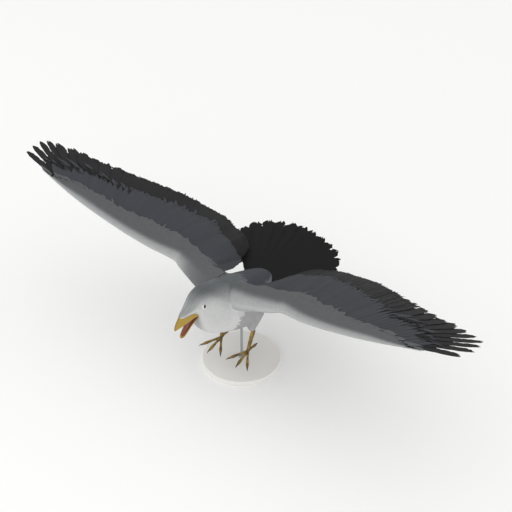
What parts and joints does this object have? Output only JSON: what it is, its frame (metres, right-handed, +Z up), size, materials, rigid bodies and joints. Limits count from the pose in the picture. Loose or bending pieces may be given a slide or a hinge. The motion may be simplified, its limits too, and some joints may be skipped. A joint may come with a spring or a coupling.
{
  "type": "herring gull",
  "caption": "Life-size herring gull in flight, wings and tail spread, bill open and feet lowered, on a plain round base and rod.",
  "frame": {"origin": "middle of the underside of the stand's base", "axes": "+Z up, the bird faces -Y, +X is its left side and runs along its spread wings"},
  "size_m": [1.4018, 0.5531, 0.4266],
  "materials": {
    "white_plumage": "soft body feathers, matt",
    "grey_plumage": "soft back feathers, matt",
    "slate_plumage": "wing coverts, matt with a faint sheen",
    "black_plumage": "flight and tail feathers, faint sheen",
    "bill_horn": "smooth horn, satin",
    "mouth_skin": "moist mouth lining",
    "eye": "wet, glossy",
    "leg_skin": "scaly leg skin, satin",
    "stand_paint": "satin paint",
    "stand_steel": "brushed"
  },
  "bodies": {
    "root": {"head": "white_plumage", "neck": "white_plumage", "torso": "grey_plumage", "tail": "black_plumage", "wing_upper_arm_left": "slate_plumage", "wing_upper_arm_right": "slate_plumage", "wing_forearm_left": "slate_plumage", "wing_forearm_right": "slate_plumage", "wing_hand_left": "black_plumage", "wing_hand_right": "black_plumage", "thigh_left": "white_plumage", "thigh_right": "white_plumage", "shank_left": "leg_skin", "shank_right": "leg_skin", "foot_left": "leg_skin", "foot_right": "leg_skin", "bill_upper": "bill_horn", "bill_lower": "bill_horn", "tongue": "mouth_skin", "eye_left": "eye", "eye_right": "eye", "stand_base": "stand_paint", "stand_rod": "stand_steel"}
  },
  "joints": []
}
